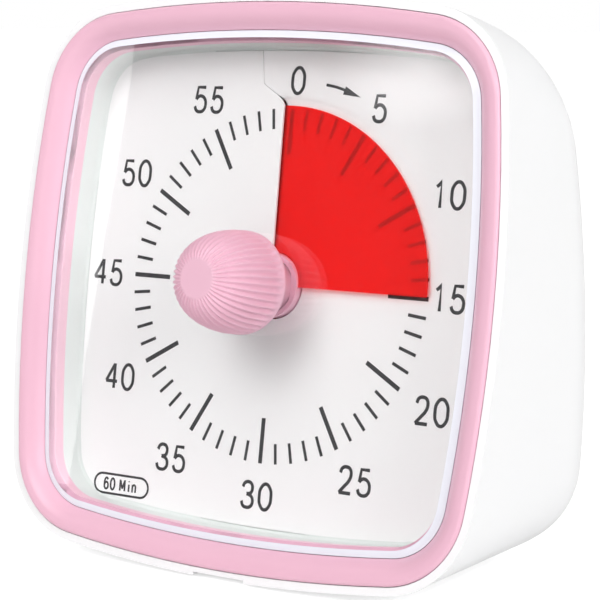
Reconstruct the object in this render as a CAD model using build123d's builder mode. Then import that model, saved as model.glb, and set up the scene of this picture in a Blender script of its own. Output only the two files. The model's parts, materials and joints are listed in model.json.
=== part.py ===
from build123d import *

import os
from math import cos, pi, radians, sin, sqrt, tan

# A table-top visual countdown timer: a white rear shell and a pink bezel close a
# leaning square case. Behind a clear lens, a red film disc turns with the knob and
# climbs through a slit in the dial card, so the red sector shows the time left.
# Millimetres, +Z up, the face looks to -Y, origin under the middle of the case.

os.makedirs("parts", exist_ok=True)

# ---------------------------------------------------------------- driving dimensions
rim_size = 85.0  # the case's front rim is square
face_lean = 8.9  # degrees that the face leans back
bow_radius = 265.0  # the gentle bulge of all four sides
rim_corner = 14.0
rim_front = 8.5  # height of the rim's front over the printed face
face_drop = 0.5  # the dial's centre stands this far over the face's
ground_gap = 0.5  # rim over the table

shell_wall = 2.0
body_depth = 35.4  # rim to rear wall, at mid height
rear_tilt = -6.0  # degrees, the rear wall's top comes forward
side_taper = 1.6  # each side, rim to rear wall
top_slope = 0.093  # fall of the top per millimetre of depth
top_curve = 0.003  # further fall per square millimetre
rear_corner = 14.9
side_rounding = 11.0  # into the rear wall
top_rounding = 17.0
base_rounding = 6.3
last_turn = 84.0  # degrees of the rounding before the flat rear wall

seam = 0.1  # visible seam between fitted covers
fit_gap = 0.3  # clearance between moving or loose pieces
running_gap = 0.06  # radial, shafts in bearings

rim_lip = 1.3  # the shell's rim round the bezel
bezel_width = 4.25  # rim to window
bezel_foot_inset = 1.85  # the bezel is narrower where it sits in the shell
bezel_crest = 9.0  # heights over the printed face
bezel_step = 5.4
bezel_base = 3.7
bezel_edge_radius = 0.55
window_edge = 6.9
window_tightening = 3.9  # by this the window's corners are tighter than the bezel's
lens_ledge = 1.1  # the bezel's ledge under the lens
lens_thickness = 1.5
lens_bevel = 1.07
lens_bevel_drop = 0.36
lens_hole = 5.6

tray_wall = 1.2
tray_flange = 1.2
tray_cove = 1.8  # round corner between tray floor and wall
tray_floor = 1.2
card_thickness = 0.3
film_thickness = 0.2
film_gap = 0.25  # free air between film and card at the slit
film_pitch = 4.0  # rise of the film in one turn
film_radius = 27.0
film_reach = 90.0  # degrees of film in front of the card at rest, 15 minutes

knob_rim_radius = 7.54
knob_rim_height = 9.0
knob_tip_radius = 2.6
knob_tip_height = 20.0
dome_fullness = 2.2  # 2 is an ellipse
knob_waist = 4.4
stem_radius = 4.0
stem_flat = 3.6  # half width over the two driving flats
hub_wall = 0.7
flute_count = 56
flute_radius = 0.42
flute_share = 0.85  # of the room round the knob, grooves to ridges
spindle_radius = 1.75

movement_depth = 11.6
movement_half = 23.0
movement_top = 23.0
movement_foot = -12.0
movement_wall = 1.2
cover_thickness = 1.0

cell_radius = 7.1  # one AA cell
cell_length = 49.2
cell_button = 1.3
cell_button_radius = 2.7
cell_rise = 18.2  # the cell's middle over the rear wall's foot
cell_gap = 0.6  # between the cell and the door
contact_thickness = 0.4
spring_length = 2.0
door_thickness = 1.6
door_overlap = 1.5  # ledge under each end of the door

screw_radius = 1.2
screw_seat_depth = 3.4  # counterbore under the rear wall's outside, along the screw
screw_seat_wall = 1.8
screw_head_radius = 2.3
screw_head = 1.4
tower_radius = 3.0
speaker_radius = 8.0
speaker_level = 3.5
speaker_thickness = 3.0
board_thickness = 1.2
foot_radius = 4.0
foot_height = 2.1
foot_inset = 24.0  # from each side of the case
foot_front = 9.0  # behind the rim
foot_rear = 4.0  # before the rear wall

# ---------------------------------------------------------------- frames
lean = radians(face_lean)
half_width = rim_size / 2
half_height = rim_size / 2


def tilt_at(depth):
    """Lean of the case's cross-section, from the face's at the rim to the rear wall's."""
    share = depth / body_depth
    return radians(face_lean * (1 - share) + rear_tilt * share)


rear_depth = body_depth - top_rounding * (1 - sin(radians(last_turn)))
rear_bulge = (half_height - base_rounding) * sin(-tilt_at(rear_depth))
front_reach = knob_tip_height * cos(lean) + knob_tip_radius * sin(lean)
rear_reach = rear_depth + rear_bulge - rim_front * cos(lean) - face_drop * sin(lean)
dial_y = (front_reach - rear_reach) / 2
dial_z = (half_height + face_drop) * cos(lean) - rim_front * sin(lean) + ground_gap
rim_y = dial_y - rim_front * cos(lean) - face_drop * sin(lean)
rim_z = dial_z + rim_front * sin(lean) - face_drop * cos(lean)

# The face's own frame: x to the right, y up the face, z out of it, zero on the print.
FACE = Plane(origin=(0, dial_y, dial_z), x_dir=(1, 0, 0), z_dir=(0, -cos(lean), sin(lean)))
OUT = FACE.z_dir


def section_plane(depth):
    tilt = tilt_at(depth)
    return Plane(origin=(0, rim_y + depth, rim_z), x_dir=(1, 0, 0), z_dir=(0, -cos(tilt), sin(tilt)))


# The rear wall's frame: seen from behind, y up the wall, z outwards, zero on its outside.
rear_lean = tilt_at(rear_depth)
REAR = Plane(
    origin=(0, rim_y + rear_depth, rim_z),
    x_dir=(-1, 0, 0),
    z_dir=(0, cos(rear_lean), -sin(rear_lean)),
)
BASE = Plane.XY


# ---------------------------------------------------------------- shared shapes
def bowed_square(plane, half, top, bottom, corner):
    """A face with four bowed sides and four round corners."""
    middle = (top + bottom) / 2
    tall = (top - bottom) / 2
    side_sag = bow_radius - sqrt(bow_radius**2 - tall**2)
    end_sag = bow_radius - sqrt(bow_radius**2 - half**2)
    x, high, low = half - side_sag, top - end_sag, bottom + end_sag
    with BuildSketch(plane) as outline:
        with BuildLine():
            ThreePointArc((x, low), (half, middle), (x, high))
            ThreePointArc((x, high), (0, top), (-x, high))
            ThreePointArc((-x, high), (-half, middle), (-x, low))
            ThreePointArc((-x, low), (0, bottom), (x, low))
        make_face()
        fillet(outline.vertices(), corner)
    return outline.sketch


def face_square(plane, half, corner):
    """A bowed square on the middle of the case's face."""
    return bowed_square(plane, half, half - face_drop, -half - face_drop, corner)


def square_block(plane, half, corner, height, mode=Mode.ADD):
    """A bowed square of even height that starts on a plane."""
    extrude(face_square(plane, half, corner), amount=height, mode=mode)


def column(plane, spots, radius, height, mode=Mode.ADD):
    """Round posts or holes that start on a plane."""
    with BuildSketch(plane) as rounds:
        with Locations(*spots):
            Circle(radius)
    extrude(rounds.sketch, amount=height, mode=mode)


def slab(plane, low, high, height, mode=Mode.ADD):
    """A rectangular block that starts on a plane, between two corners."""
    with BuildSketch(plane) as oblong:
        with Locations(((low[0] + high[0]) / 2, (low[1] + high[1]) / 2)):
            Rectangle(high[0] - low[0], high[1] - low[1])
    extrude(oblong.sketch, amount=height, mode=mode)


def at(height):
    """The plane at a height over the printed face."""
    return FACE.offset(height)


def behind(depth):
    """The plane at a depth inside the rear wall's outer face, looking out."""
    return REAR.offset(-depth)


def across(level, depth, radius, low, high, mode=Mode.ADD):
    """A round bar or hole from side to side of the case, placed from the rear wall."""
    start = REAR.from_local_coords((0, level, -depth)) + Vector(low, 0, 0)
    with BuildSketch(Plane(origin=start, x_dir=(0, 1, 0), z_dir=(1, 0, 0))) as end:
        Circle(radius)
    extrude(end.sketch, amount=high - low, mode=mode)


def rounding_inset(depth, radius, reach):
    """How far a wall has drawn in where it rounds into the rear wall."""
    past = depth - (reach - radius)
    return radius - sqrt(radius**2 - past**2) if past > 0 else 0.0


def body_section(depth, inset):
    """One cross-section of the case's body, or of its cavity with the wall as inset."""
    reach = body_depth - inset
    tilt = tilt_at(depth)
    taper = side_taper * depth / body_depth
    fall = top_slope * depth + top_curve * depth**2
    rise = half_height * cos(lean)
    half = half_width - inset - taper - rounding_inset(depth, side_rounding - inset, reach)
    top = rise - inset - fall - rounding_inset(depth, top_rounding - inset, reach)
    bottom = -rise + inset + rounding_inset(depth, base_rounding - inset, reach)
    corner = rim_corner + (rear_corner - rim_corner) * depth / body_depth - inset
    return bowed_square(section_plane(depth), half, top / cos(tilt), bottom / cos(tilt), corner)


def body_form(inset, start, mode=Mode.ADD):
    """The leaning body: bowed sides, falling top, level base, rounded into the rear wall."""
    radius = top_rounding - inset
    straight = body_depth - inset - radius
    depths = [start + (straight - start) * step / 5 for step in range(5)]
    for step in range(8):
        depths.append(straight + radius * sin(radians(last_turn * step / 7)))
    loft([body_section(depth, inset) for depth in depths], mode=mode)


# ---------------------------------------------------------------- case screws
screw_x = movement_half + 4.0
screw_spots = [(-screw_x, 16), (screw_x, 16), (-screw_x, -6), (screw_x, -6)]


def rear_height(y):
    """Height of the rear wall's outside over the printed face, behind a point of the face."""
    start = FACE.to_local_coords(REAR.origin)
    slope = tan(lean - rear_lean)
    return start.Y * -slope + start.Z + y * slope


# ---------------------------------------------------------------- rear shell
box_wall = 1.2
box_floor_gap = 0.4
box_half = (cell_length + cell_button + spring_length) / 2 + contact_thickness + 0.05
box_end = door_overlap + fit_gap
cell_level = cell_rise - half_height
cell_depth = door_thickness + cell_gap + cell_radius
box_depth = cell_depth + cell_radius + box_floor_gap
door_low = cell_level - cell_radius - cell_gap
door_high = cell_level + cell_radius + cell_gap
door_half = box_half + door_overlap
hinge_inset = door_thickness / 2
hinge_level = door_low + 1.1
hinge_radius = 0.5
hinge_length = 0.9

board_low = door_high + box_wall + 0.4
board_high = board_low + 11.6
board_half = 22.0
board_depth = 9.4
board_middle = board_low + 6.0
board_spots = [(-19, board_middle), (19, board_middle)]
board_post_radius = 2.2
board_screw_radius = 0.88

slot_level = board_middle
slot_half = 4.8
slot_half_height = 1.6
switch_x = 8.0  # seen from behind
speaker_spot = (0, speaker_level)
speaker_ring_wall = 1.2
sound_hole_radius = 0.8
sound_rings = [(2.7, 6), (5.4, 12)]  # radius, holes
overshoot = 1.0  # cuts start and end this far outside

foot_x = half_width - foot_inset
foot_rows = (rim_y + foot_front, rim_y + body_depth - foot_rear)
foot_spots = [(x, y) for y in foot_rows for x in (-foot_x, foot_x)]
notch_half = 4.5
notch_height = 1.8
bezel_half = half_width - rim_lip
bezel_corner = rim_corner - rim_lip

with BuildPart() as rear_shell:
    body_form(0, 0)
    body_form(shell_wall, -1.5, mode=Mode.SUBTRACT)
    # the front rim is opened for the bezel and ends in a shoulder that carries it
    square_block(at(bezel_step), bezel_half + seam, bezel_corner + seam, rim_front, mode=Mode.SUBTRACT)
    # screw bosses on the inside of the rear wall
    for x, y in screw_spots:
        boss_top = rear_height(y) + screw_seat_depth + screw_seat_wall
        column(at(boss_top), [(x, y)], screw_head_radius + 1.7, rear_height(y) - boss_top + 1.2)
    # battery box: walls and floor that reach in from the rear wall
    slab(
        behind(box_depth + box_wall),
        (-box_half - box_end, door_low - box_wall),
        (box_half + box_end, door_high + box_wall),
        box_depth + box_wall - overshoot,
    )
    # posts for the circuit board, and the ring that holds the speaker
    post_end = board_depth - board_thickness
    column(behind(post_end), board_spots, board_post_radius, post_end - overshoot)
    speaker_seat = shell_wall + speaker_thickness
    column(behind(speaker_seat), [speaker_spot], speaker_radius + speaker_ring_wall, speaker_thickness + 1)
    # everything that stands outside the body's own form is cut off again
    body_form(0, 0, mode=Mode.INTERSECT)
    box_corners = (-box_half, door_low), (box_half, door_high)
    slab(behind(box_depth), *box_corners, box_depth + overshoot, mode=Mode.SUBTRACT)
    door_corners = (-door_half, door_low), (door_half, door_high)
    slab(behind(door_thickness + fit_gap), *door_corners, shell_wall + overshoot, mode=Mode.SUBTRACT)
    speaker_bore = speaker_radius + seam
    column(behind(speaker_seat), [speaker_spot], speaker_bore, speaker_thickness, mode=Mode.SUBTRACT)
    for x, y in screw_spots:
        outside = rear_height(y)
        seat = at(outside + screw_seat_depth)
        column(seat, [(x, y)], screw_head_radius + seam, -screw_seat_depth - 3, mode=Mode.SUBTRACT)
        column(at(outside), [(x, y)], screw_radius + seam, screw_seat_depth + 3, mode=Mode.SUBTRACT)
    screw_hole = board_depth - shell_wall - 0.4
    column(behind(board_depth), board_spots, board_screw_radius + 0.02, screw_hole, mode=Mode.SUBTRACT)
    # sound holes: one in the middle and two rings round it
    inside = behind(shell_wall + overshoot)
    through = shell_wall + 2 * overshoot
    column(inside, [speaker_spot], sound_hole_radius, through, mode=Mode.SUBTRACT)
    for ring_radius, ring_count in sound_rings:
        with BuildSketch(inside):
            with Locations(speaker_spot):
                with PolarLocations(ring_radius, ring_count):
                    Circle(sound_hole_radius)
        extrude(amount=through, mode=Mode.SUBTRACT)
    # slot for the volume slider
    slot_low = (switch_x - slot_half, slot_level - slot_half_height)
    slot_high = (switch_x + slot_half, slot_level + slot_half_height)
    slab(inside, slot_low, slot_high, through, mode=Mode.SUBTRACT)
    # sockets for the door's hinge pins
    socket_end = door_half + hinge_length
    across(hinge_level, hinge_inset, hinge_radius + running_gap, -socket_end, socket_end, mode=Mode.SUBTRACT)
    # pockets for the four feet
    column(BASE.offset(-1), foot_spots, foot_radius + seam, foot_height + 1, mode=Mode.SUBTRACT)
    # pry notch under the rim
    rim_low = -half_height - face_drop
    notch_low = (-notch_half, rim_low - overshoot)
    notch_high = (notch_half, rim_low + 0.5)
    slab(at(rim_front - notch_height), notch_low, notch_high, 3, mode=Mode.SUBTRACT)
rear_shell.part.label = "rear_shell"


# ---------------------------------------------------------------- front bezel
window_half = bezel_half - bezel_width
window_corner = bezel_corner - window_tightening
ledge_half = window_half - lens_ledge
ledge_corner = window_corner - lens_ledge
foot_half = bezel_half - bezel_foot_inset
foot_corner = bezel_corner - bezel_foot_inset
tray_flange_half = foot_half - fit_gap
tray_flange_corner = foot_corner - fit_gap
lens_front = window_edge + lens_bevel_drop
lens_seat = lens_front - lens_thickness
hook_radius = tray_flange_half - 0.5
hook_width = 8.0
hook_thickness = 1.0
hook_reach = 0.6  # inwards, behind the tray's flange
flange_back = bezel_base - tray_flange
crest_land = 0.9  # flat crest ring, rim to slope
slope_steps = [(0.0, 0.0), (0.35, 0.14), (0.7, 0.48), (1.0, 1.0)]  # share inwards, share of the fall

with BuildPart() as front_bezel:
    square_block(at(bezel_base), foot_half, foot_corner, bezel_step - bezel_base)
    square_block(at(bezel_step), bezel_half, bezel_corner, bezel_crest - bezel_step)
    crest_ring = front_bezel.faces().sort_by(Axis(FACE.origin, OUT))[-1]
    fillet(crest_ring.outer_wire().edges(), bezel_edge_radius)
    # the front falls inwards to the window in a soft curve
    slope = []
    for inward, fall in slope_steps:
        half = bezel_half - crest_land + (window_half - bezel_half + crest_land) * inward
        corner = bezel_corner - crest_land + (window_corner - bezel_corner + crest_land) * inward
        height = bezel_crest + (window_edge - bezel_crest) * fall
        slope.append(face_square(at(height), half, corner))
    loft(slope, mode=Mode.SUBTRACT)
    square_block(at(lens_seat), window_half, window_corner, bezel_crest, mode=Mode.SUBTRACT)
    square_block(at(bezel_base - 1), ledge_half, ledge_corner, bezel_crest, mode=Mode.SUBTRACT)
    # four snap hooks that grip the tray's flange
    with BuildSketch(at(bezel_base)):
        with Locations((0, -face_drop)):
            with PolarLocations(hook_radius, 4):
                Rectangle(hook_thickness, hook_width)
    extrude(amount=-tray_flange - hook_thickness)
    with BuildSketch(at(flange_back - seam)):
        with Locations((0, -face_drop)):
            with PolarLocations(hook_radius - hook_reach, 4):
                Rectangle(hook_thickness, hook_width)
    extrude(amount=-hook_thickness + seam)
front_bezel.part.label = "front_bezel"

# ---------------------------------------------------------------- lens
with BuildPart() as lens:
    lens_half = window_half - seam
    lens_corner = window_corner - seam
    square_block(at(lens_seat), lens_half, lens_corner, lens_thickness - lens_bevel_drop)
    edge = face_square(at(window_edge), lens_half, lens_corner)
    flat_half = lens_half - lens_bevel
    flat = face_square(at(lens_front), flat_half, lens_corner - lens_bevel)
    loft([edge, flat], ruled=True)
    column(at(lens_seat - 1), [(0, 0)], lens_hole, lens_thickness + 2, mode=Mode.SUBTRACT)
lens.part.label = "lens"

# ---------------------------------------------------------------- dial tray
card_half = ledge_half - tray_cove - fit_gap
card_corner = ledge_corner - tray_cove - fit_gap
card_middle = -card_thickness / 2
hub_radius = stem_radius + running_gap + hub_wall
slit_offset = card_thickness / 2 + film_thickness / 2 + film_gap
ramp_angle = 360 * slit_offset / film_pitch  # degrees of card that bend at each side of the slit
film_low = card_middle - film_pitch - film_thickness
well_radius = film_radius + 1.2
well_floor = film_low - 0.55
tray_back = well_floor - tray_floor
pan_back = -card_thickness - tray_floor
movement_front = tray_back - seam
movement_back = movement_front - movement_depth
clip_thickness = 1.2
clip_low = 2.0  # the two hooks hold the movement by its sides, between the towers
clip_high = 9.0
clip_hook = 0.7
screw_grip = 8.0  # thread inside the tower


def lies_on_dial(face):
    """True for a face in the plane of the print."""
    return abs(FACE.to_local_coords(face.center()).Z) < 0.01


with BuildPart() as dial_tray:
    square_block(at(pan_back), ledge_half + tray_wall, ledge_corner + tray_wall, bezel_base - pan_back)
    square_block(at(flange_back), tray_flange_half, tray_flange_corner, tray_flange)
    with BuildSketch(at(flange_back - overshoot)):
        with Locations((0, -face_drop)):
            with PolarLocations(hook_radius + seam, 4):
                Rectangle(hook_thickness + 2 * fit_gap, hook_width + 2 * fit_gap)
    extrude(amount=tray_flange + 2 * overshoot, mode=Mode.SUBTRACT)
    square_block(at(0), ledge_half, ledge_corner, bezel_base + 1, mode=Mode.SUBTRACT)
    pan_floor = dial_tray.faces().filter_by(lies_on_dial)
    fillet(pan_floor.edges(), tray_cove)
    column(at(tray_back), [(0, 0)], well_radius + tray_wall, pan_back - tray_back + 0.4)
    for x, y in screw_spots:
        tower_end = rear_height(y) + screw_seat_depth + screw_seat_wall + seam
        column(at(pan_back), [(x, y)], tower_radius, tower_end - pan_back)
        column(at(tower_end), [(x, y)], screw_radius + 0.02, screw_grip + 0.5, mode=Mode.SUBTRACT)
    for side in (1, -1):
        inner = side * (movement_half + seam)
        outer = inner + side * clip_thickness
        low, high = sorted((inner, outer))
        slab(at(tray_back), (low, clip_low), (high, clip_high), movement_back - seam - tray_back - 1.0)
        low, high = sorted((inner - side * clip_hook, outer))
        slab(at(movement_back - seam), (low, clip_low), (high, clip_high), -1.0)
    seat = at(-card_thickness)
    square_block(seat, card_half + seam, card_corner + seam, card_thickness + 0.1, mode=Mode.SUBTRACT)
    column(at(well_floor), [(0, 0)], well_radius, -well_floor + 1, mode=Mode.SUBTRACT)
    column(at(tray_back - 1), [(0, 0)], spindle_radius + 0.5, tray_floor + 2, mode=Mode.SUBTRACT)
dial_tray.part.label = "dial_tray"


# ---------------------------------------------------------------- dial card and film
def clock_point(radius, angle, height):
    """A point by its radius, its angle clockwise from the top, and its height over the card."""
    turn = radians(angle)
    return FACE.from_local_coords((radius * sin(turn), radius * cos(turn), card_middle + height))


def spiral_sheet(inner, outer, start, end, start_level, end_level, thickness):
    """A thin sheet between two radii that rises evenly with its angle."""
    count = max(4, int(abs(end - start) / 12))
    rims = []
    for radius in (inner, outer):
        points = []
        for step in range(count + 1):
            share = step / count
            level = start_level + (end_level - start_level) * share - thickness / 2
            points.append(clock_point(radius, start + (end - start) * share, level))
        rims.append(Edge.make_spline(points))
    extrude(Face.make_surface_from_curves(*rims), amount=thickness, dir=OUT)


card_bore = hub_radius + 0.4
card_cut = film_radius + 0.7
bend_x = card_cut * sin(radians(ramp_angle))
bend_y = card_cut * cos(radians(ramp_angle))
jog_x = -4.8  # outside the film the slit steps to the left
jog_rise = 2.8
slit_end_x = -5.75
slit_width = 0.3

with BuildPart() as dial_card:
    square_block(at(-card_thickness), card_half, card_corner, card_thickness)
    with BuildSketch(at(-card_thickness - overshoot)):
        Circle(card_bore)
        with BuildLine():
            Line((0, 0), (-bend_x, bend_y))
            ThreePointArc((-bend_x, bend_y), (0, card_cut), (bend_x, bend_y))
            Line((bend_x, bend_y), (0, 0))
        make_face()
        # the slit goes on outwards, with a jog, to the card's top edge
        with BuildLine():
            Polyline((-0.4, film_radius), (jog_x, film_radius + jog_rise), (slit_end_x, card_half + 2))
        trace(line_width=slit_width)
    extrude(amount=card_thickness + 2 * overshoot, mode=Mode.SUBTRACT)
    tongue = card_cut - 0.35
    spiral_sheet(card_bore, tongue, 0, ramp_angle, -slit_offset, 0, card_thickness)
    spiral_sheet(card_bore, tongue, -ramp_angle, 0, 0, slit_offset, card_thickness)
dial_card.part.label = "dial_card"

film_tail = film_reach - 360
film_level_low = film_pitch * film_tail / 360
film_level_high = film_pitch * film_reach / 360

with BuildPart() as film_disc:
    film_levels = (film_level_low, film_level_high)
    spiral_sheet(hub_radius, film_radius, film_tail, film_reach, *film_levels, film_thickness)
film_disc.part.label = "film_disc"


def stem_section(plane, grow):
    """The knob's stem in section: a circle with two flats."""
    with BuildSketch(plane) as section:
        Circle(stem_radius + grow)
        Rectangle(2 * (stem_flat + grow), 2 * (stem_radius + grow), mode=Mode.INTERSECT)
    return section.sketch


hub_low = card_middle + film_level_low - 0.4
hub_high = card_middle + film_level_high + 0.45

with BuildPart() as film_hub:
    column(at(hub_low), [(0, 0)], hub_radius, hub_high - hub_low)
    extrude(stem_section(at(hub_low - 1), running_gap), amount=hub_high - hub_low + 2, mode=Mode.SUBTRACT)
film_hub.part.label = "film_hub"

# ---------------------------------------------------------------- knob and spindle
AXIAL = Plane(origin=FACE.origin, x_dir=FACE.x_dir, z_dir=-FACE.y_dir)
stem_low = well_floor + fit_gap
neck_low = hub_high + film_pitch * 0.75 + fit_gap
spindle_top = 14.4
spindle_bore = spindle_radius + 0.02  # pressed on
dome_low = knob_rim_height + 0.5
dome = []
for share in (0, 0.25, 0.5, 0.72, 0.88, 0.96, 1):
    spread = (knob_rim_radius - knob_tip_radius) * sqrt(1 - share**dome_fullness)
    dome.append((knob_tip_radius + spread, dome_low + (knob_tip_height - dome_low) * share))
flute_shares = [0.06, 0.2, 0.4, 0.6, 0.75, 0.86, 0.93]  # along the dome


def flute_path(profile):
    """The way of the groove's cutter over the dome, lifted so that the flutes narrow to the tip."""
    path = []
    for share in flute_shares:
        spot, along = profile @ share, profile % share
        groove_half = flute_share * pi * spot.X / flute_count
        lift = sqrt(flute_radius**2 - groove_half**2)
        path.append((spot.X + along.Y * lift, spot.Y - along.X * lift))
    path.append((knob_tip_radius + 0.35, knob_tip_height + flute_radius + 0.05))
    return path


with BuildLine() as dome_profile:
    Spline(*dome, tangents=[(0, 1), (-1, 0.2)])

with BuildPart() as time_knob:
    extrude(stem_section(at(stem_low), 0), amount=neck_low - stem_low)
    with BuildSketch(AXIAL):
        with BuildLine():
            Polyline((0, neck_low), (stem_radius, neck_low), (knob_waist, neck_low + 0.5))
            Spline(
                (knob_waist, neck_low + 0.5),
                (knob_waist + 0.6, knob_rim_height - 1.3),
                (knob_rim_radius - 0.3, knob_rim_height - 0.5),
                tangents=[(0, 1), (1, 0.15)],
            )
            Polyline(
                (knob_rim_radius - 0.3, knob_rim_height - 0.5),
                (knob_rim_radius, knob_rim_height - 0.2),
                dome[0],
            )
            add(dome_profile.line)
            Polyline(dome[-1], (0, knob_tip_height), (0, neck_low))
        make_face()
    revolve(axis=Axis(FACE.origin, OUT))
    # flutes over the dome, fading out at the rim and at the tip
    with BuildLine(AXIAL) as groove_path:
        Spline(*flute_path(dome_profile.line))
    with BuildPart(mode=Mode.PRIVATE) as groove:
        with BuildSketch(Plane(origin=groove_path.line @ 0, z_dir=groove_path.line % 0)):
            Circle(flute_radius)
        sweep(path=groove_path.line)
    turn_axis = Axis(FACE.origin, OUT)
    grooves = [groove.part.rotate(turn_axis, 360 * n / flute_count) for n in range(flute_count)]
    add(grooves, mode=Mode.SUBTRACT)
    bore_depth = spindle_top + seam - stem_low + overshoot
    column(at(stem_low - overshoot), [(0, 0)], spindle_bore, bore_depth, mode=Mode.SUBTRACT)
time_knob.part.label = "time_knob"


flange_top = movement_front - movement_wall - seam
spindle_end = movement_back + 0.2

with BuildPart() as spindle:
    cover_front = movement_back + cover_thickness
    column(at(spindle_top), [(0, 0)], spindle_radius, cover_front + seam - spindle_top)
    column(at(flange_top), [(0, 0)], 3.5, -0.5)
    column(at(cover_front + seam), [(0, 0)], 1.0, spindle_end - cover_front - seam)
spindle.part.label = "spindle"

# ---------------------------------------------------------------- movement case
# Each pair of wheels: teeth of the wheel and of its pinion, module, and direction of the pinion.
drive_teeth, third_leaves, drive_module, third_turn = 50, 10, 0.4, 90
third_teeth, second_leaves, third_module, second_turn = 48, 8, 0.3, 0
second_teeth, first_leaves, second_module, first_turn = 60, 8, 0.25, -40
first_teeth, rotor_leaves, first_module, rotor_turn = 48, 6, 0.25, -100


def meshing_spot(spot, teeth, leaves, module, turn):
    """Where a pinion's arbor stands so that it meshes with a wheel."""
    apart = (teeth + leaves) * module / 2
    return (spot[0] + apart * cos(radians(turn)), spot[1] + apart * sin(radians(turn)))


third_spot = meshing_spot((0, 0), drive_teeth, third_leaves, drive_module, third_turn)
second_spot = meshing_spot(third_spot, third_teeth, second_leaves, third_module, second_turn)
first_spot = meshing_spot(second_spot, second_teeth, first_leaves, second_module, first_turn)
rotor_spot = meshing_spot(first_spot, first_teeth, rotor_leaves, first_module, rotor_turn)
arbor_spots = [third_spot, second_spot, first_spot, rotor_spot]
pivot_radius = 0.35
stator_top = -13.1
stator_thickness = 0.8
stator_posts = [(-10.8, -7.5), (13.75, -7.5)]
movement_low = (-movement_half, movement_foot)
movement_high = (movement_half, movement_top)

with BuildPart() as movement_base:
    slab(at(cover_front), movement_low, movement_high, movement_front - cover_front)
    fillet(movement_base.edges().filter_by(Axis(FACE.origin, OUT)), 2.0)
    slab(
        at(cover_front - 1),
        (-movement_half + movement_wall, movement_foot + movement_wall),
        (movement_half - movement_wall, movement_top - movement_wall),
        movement_front - movement_wall - cover_front + 1,
        mode=Mode.SUBTRACT,
    )
    column(at(stator_top), stator_posts, 1.1, movement_front - movement_wall - stator_top)
    column(at(flange_top - 1), [(0, 0)], spindle_radius + running_gap, 4, mode=Mode.SUBTRACT)
    bearing = pivot_radius + 0.05
    bearing_start = at(movement_front - movement_wall - overshoot)
    column(bearing_start, arbor_spots, bearing, movement_wall + 0.8, mode=Mode.SUBTRACT)
movement_base.part.label = "movement_base"

with BuildPart() as movement_cover:
    slab(at(movement_back), movement_low, movement_high, cover_thickness)
    fillet(movement_cover.edges().filter_by(Axis(FACE.origin, OUT)), 2.0)
    column(at(movement_back - 1), [(0, 0)], 1.0 + running_gap, cover_thickness + 2, mode=Mode.SUBTRACT)
    column(at(movement_back + 0.2), arbor_spots, bearing, cover_thickness + 1, mode=Mode.SUBTRACT)
movement_cover.part.label = "movement_cover"


# ---------------------------------------------------------------- gear train
def gear(spot, teeth, module, top, height, first_tooth, bore=0.0):
    """A spur gear below a height; first_tooth is one tooth's direction in degrees."""
    pitch_radius = teeth * module / 2
    step = 2 * pi / teeth
    corners = []
    for tooth in range(teeth):
        middle = radians(first_tooth) + tooth * step
        for grow, turn in gear_tooth:
            radius = pitch_radius + grow * module
            angle = middle + turn * step
            corners.append((spot[0] + radius * cos(angle), spot[1] + radius * sin(angle)))
    with BuildSketch(at(top)) as outline:
        with BuildLine():
            Polyline(*corners, close=True)
        make_face()
        if bore:
            with Locations(spot):
                Circle(bore, mode=Mode.SUBTRACT)
    extrude(outline.sketch, amount=-height)


gear_tooth = [(-1.0, -0.27), (0.7, -0.11), (0.7, 0.11), (-1.0, 0.27)]  # module, share of the pitch
drive_level = -8.1  # top of each large wheel
third_level = -11.5
second_level = -13.5
first_level = -15.4
spring_level = -9.1
cam_level = -10.2
cam_radius = 4.2
rotor_radius = 2.0


def facing_leaf(turn, leaves):
    """Direction of a pinion's leaf when one of its gaps takes the tooth of the wheel before it."""
    return turn + 180 + 180 / leaves


def arbor(spot, radius, low, high):
    """A wheel's shaft with a thin pivot at each end."""
    column(at(low), [spot], radius, high - low)
    column(at(movement_back + 0.3), [spot], pivot_radius, movement_front - 0.3 - movement_back - 0.3)


with BuildPart() as drive_wheel:
    gear((0, 0), drive_teeth, drive_module, drive_level, 0.9, third_turn, spindle_radius + running_gap)
drive_wheel.part.label = "drive_wheel"

with BuildPart() as clutch_spring:
    column(at(spring_level), [(0, 0)], 3.3, -0.4)
    column(at(spring_level + overshoot), [(0, 0)], spindle_bore, -2, mode=Mode.SUBTRACT)
clutch_spring.part.label = "clutch_spring"

with BuildPart() as alarm_cam:
    column(at(cam_level), [(0, 0)], cam_radius, -1.0)
    column(at(cam_level + overshoot), [(0, 0)], spindle_bore, -3, mode=Mode.SUBTRACT)
    slab(at(cam_level - 1.3), (cam_radius - 1.2, -0.6), (cam_radius + 0.8, 0.6), 2, mode=Mode.SUBTRACT)
alarm_cam.part.label = "alarm_cam"

with BuildPart() as contact_leaf:
    leaf_root = -movement_half + movement_wall
    slab(at(cam_level - 0.8), (leaf_root, -0.15), (-cam_radius - fit_gap, 0.15), 0.6)
    slab(at(cam_level - 1.6), (leaf_root, -2.0), (leaf_root + 0.4, 2.0), 2.2)
contact_leaf.part.label = "contact_leaf"

with BuildPart() as third_wheel:
    arbor(third_spot, 0.6, third_level - 1.1, drive_level + 0.4)
    first_leaf = facing_leaf(third_turn, third_leaves)
    gear(third_spot, third_leaves, drive_module, drive_level + 0.3, 1.4, first_leaf)
    gear(third_spot, third_teeth, third_module, third_level, 0.8, second_turn)
third_wheel.part.label = "third_wheel"

with BuildPart() as second_wheel:
    arbor(second_spot, 0.6, second_level - 0.9, -9.5)
    first_leaf = facing_leaf(second_turn, second_leaves)
    gear(second_spot, second_leaves, third_module, third_level + 0.2, 1.2, first_leaf)
    gear(second_spot, second_teeth, second_module, second_level, 0.7, first_turn)
second_wheel.part.label = "second_wheel"

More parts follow.
